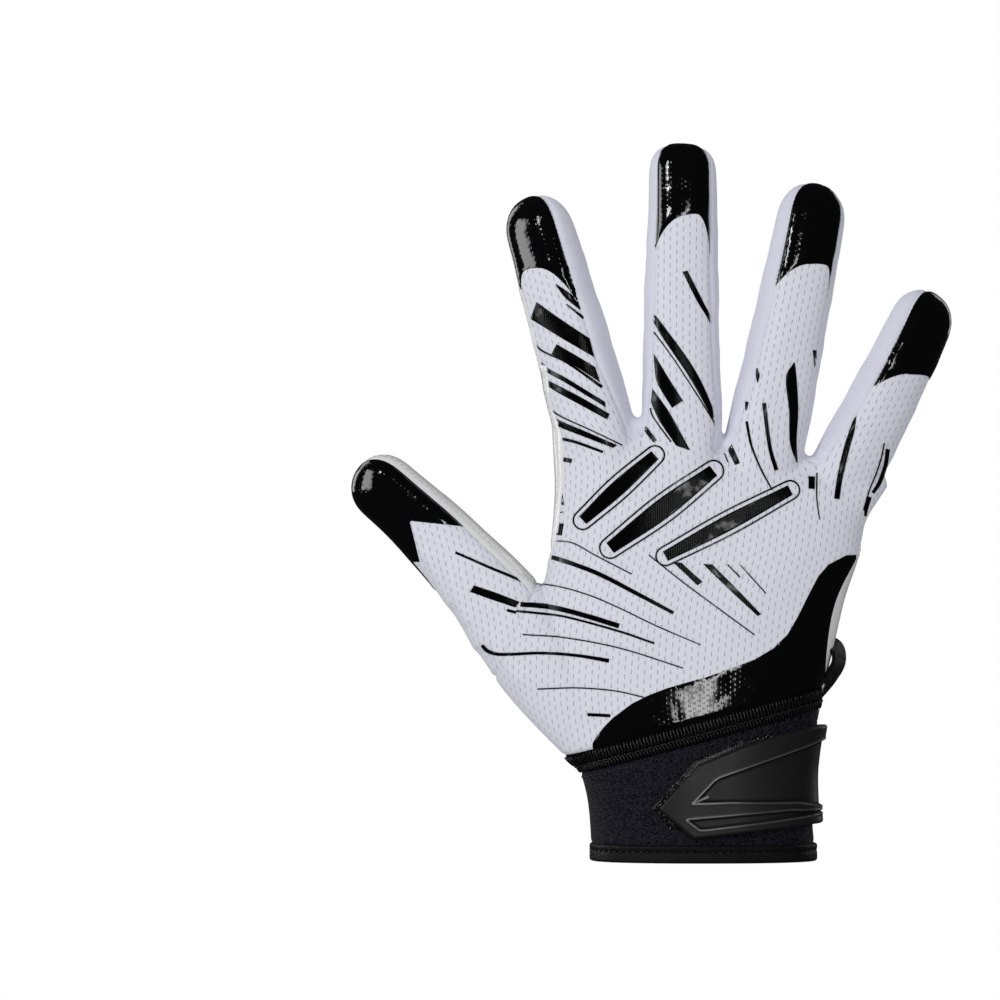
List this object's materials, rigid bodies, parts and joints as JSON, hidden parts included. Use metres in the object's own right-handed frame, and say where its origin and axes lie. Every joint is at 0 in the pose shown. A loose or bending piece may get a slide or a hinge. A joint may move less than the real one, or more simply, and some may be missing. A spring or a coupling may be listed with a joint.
{
  "type": "football receiver glove",
  "caption": "Worn-shape receiver glove with mesh back, white tacky palm, glossy black fingertip caps and wrist panel, foam cuff and moulded closure tab.",
  "frame": {"origin": "middle of the wrist opening, in the plane of the hem", "axes": "+Z from the hem towards the middle fingertip, the back of the hand faces -Y, the palm faces +Y, the thumb points to -X"},
  "size_m": [0.1931, 0.0488, 0.2317],
  "materials": {
    "knit_mesh": "matte perforated polyester mesh knit, white with a lilac cast",
    "side_knit": "matte fine stretch knit, white with a lilac cast",
    "grip_silicone": "warm white tacky silicone on a knit backing, satin gloss with printed black bars",
    "gloss_overlay": "glossy black overlay with fine raised dots",
    "foam_knit": "blue-black fine knit over thin foam, matte",
    "thread_band": "dense black overlock thread",
    "binding_tape": "black woven tape",
    "moulded_rubber": "matte black moulded rubber with satin ridges",
    "hook_fastener": "black hook fastener with a bound edge",
    "woven_label": "white woven ribbon with plain woven frames"
  },
  "bodies": {
    "root": {"back_panel": "knit_mesh", "thumb_back": "knit_mesh", "side_strip_index_middle": "side_knit", "side_strip_middle_ring": "side_knit", "side_strip_ring_little": "side_knit", "palm_panel": "grip_silicone", "thumb_grip": "grip_silicone", "fingertip_cap_index": "gloss_overlay", "fingertip_cap_middle": "gloss_overlay", "fingertip_cap_ring": "gloss_overlay", "fingertip_cap_little": "gloss_overlay", "fingertip_cap_thumb": "gloss_overlay", "wrist_panel": "gloss_overlay", "cuff": "foam_knit", "seam_band": "thread_band", "hem_binding": "binding_tape", "pull_loop": "binding_tape", "closure_strap": "moulded_rubber", "strap_landing": "hook_fastener", "label": "woven_label"}
  },
  "joints": []
}
